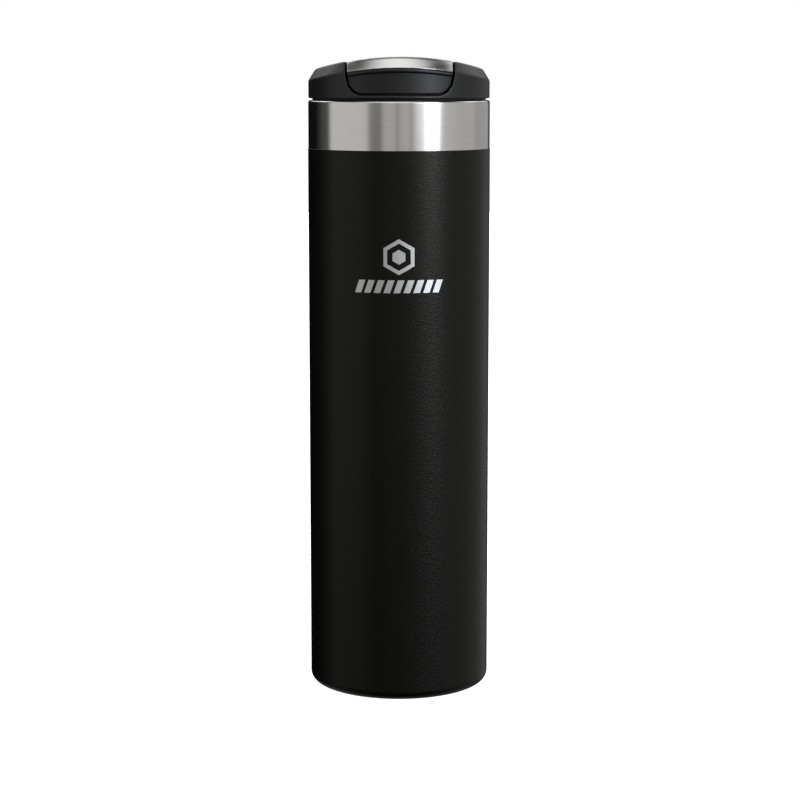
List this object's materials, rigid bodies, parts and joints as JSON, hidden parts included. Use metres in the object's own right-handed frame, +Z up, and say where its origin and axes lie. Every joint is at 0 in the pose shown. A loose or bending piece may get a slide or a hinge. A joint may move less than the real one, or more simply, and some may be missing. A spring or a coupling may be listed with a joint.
{
  "type": "insulated travel mug",
  "caption": "Slim vacuum-insulated travel mug: coated steel double-wall bottle with a bare steel band, and a screw-in plastic lid with a steel-topped flip cap over the spout.",
  "frame": {"origin": "centre of the mug's base, on the surface that it stands on", "axes": "+Z up along the bottle's axis, -Y towards the drinking side (the thumb lip), +Y towards the flip cap's hinge"},
  "size_m": [0.073, 0.073, 0.2549],
  "materials": {
    "powder_coat": "fine-textured matt black powder coat",
    "brushed_steel": "brushed stainless steel",
    "drawn_steel": "drawn and electropolished stainless steel",
    "black_plastic": "moulded black plastic, satin",
    "grey_plastic": "moulded dark grey plastic",
    "dark_silicone": "matt dark silicone",
    "clear_silicone": "milky silicone",
    "foam": "moulded foam bead",
    "solder": "dull solder",
    "getter_metal": "sintered metal"
  },
  "bodies": {
    "bottle": {"outer_shell": "powder_coat", "inner_liner": "drawn_steel", "base_cap": "drawn_steel", "base_plate": "brushed_steel", "vacuum_seal": "solder", "getter": "getter_metal"},
    "gasket": {"lid_gasket": "dark_silicone"},
    "lid": {"lid_collar": "black_plastic", "stopper_body": "grey_plastic", "stopper_cover": "grey_plastic", "stopper_foam": "foam", "stopper_seal": "clear_silicone", "lid_deck": "black_plastic", "hinge_pin": "drawn_steel"},
    "flip_cap": {"flip_cap_shell": "black_plastic", "flip_cap_plate": "brushed_steel", "flip_cap_liner": "black_plastic", "spout_seal": "clear_silicone", "vent_seal": "clear_silicone"}
  },
  "joints": [
    {"name": "lid_lift", "type": "slide", "parent": "bottle", "child": "gasket", "axis": [0, 0, 1], "range_m": [0, 0.0151]},
    {"name": "lid_turn", "type": "hinge", "parent": "gasket", "child": "lid", "pos_m": [0, 0, 0.2387], "axis": [0, 0, 1], "range_deg": [0, 450]},
    {"name": "flip_open", "type": "hinge", "parent": "lid", "child": "flip_cap", "pos_m": [0, 0.024, 0.249], "axis": [-1, 0, 0], "range_deg": [0, 120]}
  ],
  "couplings": [
    {"joint": "lid_lift", "follows": "lid_turn", "m_per_rad": 0.0019099}
  ]
}
